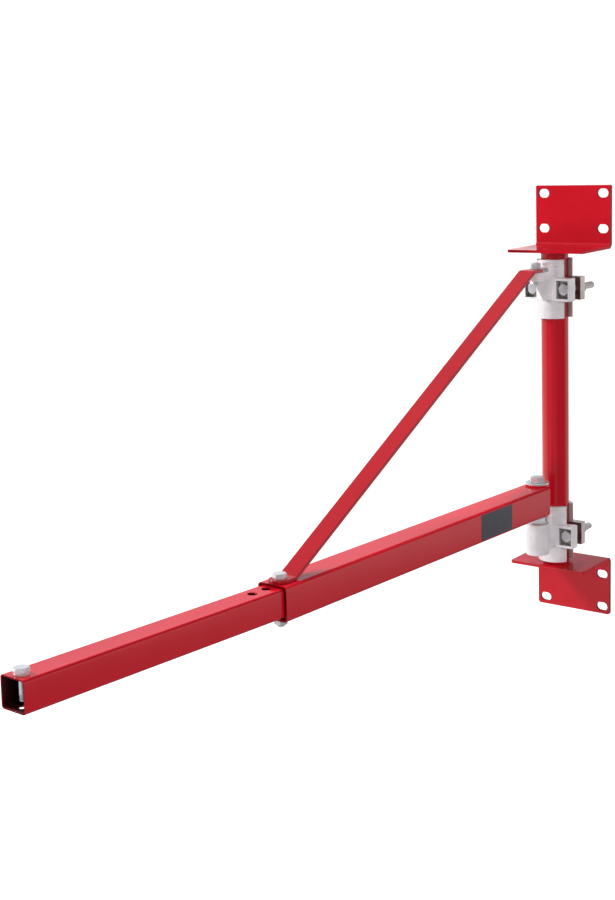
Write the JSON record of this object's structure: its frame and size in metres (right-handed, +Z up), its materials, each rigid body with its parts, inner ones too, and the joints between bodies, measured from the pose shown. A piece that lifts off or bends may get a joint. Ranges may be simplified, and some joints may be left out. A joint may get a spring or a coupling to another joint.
{
  "type": "wall-mounted swivel hoist arm",
  "caption": "Wall-mounted swivel hoist arm: pole between two slotted brackets, cast pole clamps, square telescopic boom, flat-bar brace, bolt-on end stop.",
  "frame": {"origin": "wall face of the lower bracket, at the centre of its four slots", "axes": "+X out of the wall, about along the arm at rest; +Y to the side; +Z up, parallel to the pole"},
  "size_m": [1.3574, 0.15, 0.802],
  "materials": {
    "red_paint": "glossy red powder coat on steel",
    "cast_metal": "satin light grey galvanised casting",
    "zinc_steel": "bright zinc-plated steel"
  },
  "bodies": {
    "wall_frame": {"lower_wall_bracket": "red_paint", "upper_wall_bracket": "red_paint", "pole": "red_paint", "lower_clamp_front": "cast_metal", "lower_clamp_back": "cast_metal", "upper_clamp_front": "cast_metal", "upper_clamp_back": "cast_metal", "lower_clamp_bolt_left": "zinc_steel", "lower_clamp_bolt_right": "zinc_steel", "upper_clamp_bolt_left": "zinc_steel", "upper_clamp_bolt_right": "zinc_steel", "lower_clamp_washer_left": "zinc_steel", "lower_clamp_washer_right": "zinc_steel", "upper_clamp_washer_left": "zinc_steel", "upper_clamp_washer_right": "zinc_steel", "lower_clamp_nut_left": "zinc_steel", "lower_clamp_nut_right": "zinc_steel", "upper_clamp_nut_left": "zinc_steel", "upper_clamp_nut_right": "zinc_steel", "swivel_bolt": "zinc_steel", "swivel_lock_nut": "zinc_steel", "swivel_thrust_washer": "zinc_steel", "brace_stud": "zinc_steel", "brace_washer": "zinc_steel", "brace_nut": "zinc_steel"},
    "jib": {"swivel_sleeve": "red_paint", "swivel_top_washer": "zinc_steel", "arm_outer_tube": "red_paint", "arm_inner_tube": "red_paint", "brace_strap": "red_paint", "lock_bolt": "zinc_steel", "lock_nut": "zinc_steel", "end_stop_bolt": "zinc_steel", "end_stop_washer": "zinc_steel", "end_stop_nut": "zinc_steel"}
  },
  "joints": [
    {"name": "jib_swivel", "type": "hinge", "parent": "wall_frame", "child": "jib", "pos_m": [0.145, 0, 0.2], "axis": [0, 0, 1], "range_deg": [-88, 91.5]}
  ]
}
